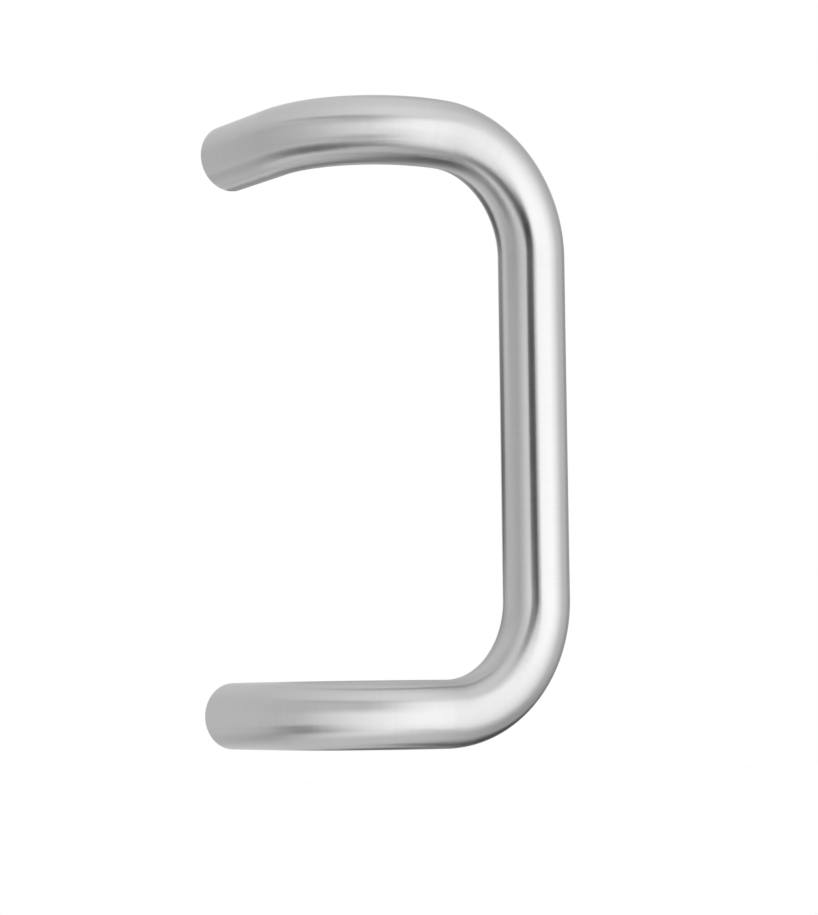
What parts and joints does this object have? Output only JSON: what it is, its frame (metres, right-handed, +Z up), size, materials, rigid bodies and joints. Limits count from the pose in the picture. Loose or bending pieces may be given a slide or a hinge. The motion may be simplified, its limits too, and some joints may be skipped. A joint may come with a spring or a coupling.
{
  "type": "offset door pull",
  "caption": "Door pull bent from a solid round bar, its upright grip offset to one side of its fixing points, with tapped ends for through-bolts.",
  "frame": {"origin": "on the door's face, midway between the centres of the two fixing holes", "axes": "+Z up along the grip, +Y into the door, so the pull stands out along -Y, and +X towards the grip"},
  "size_m": [0.1128, 0.0905, 0.2414],
  "materials": {
    "satin_steel": "satin, with fine brush lines round the bar"
  },
  "bodies": {
    "root": {"pull_bar": "satin_steel"}
  },
  "joints": []
}
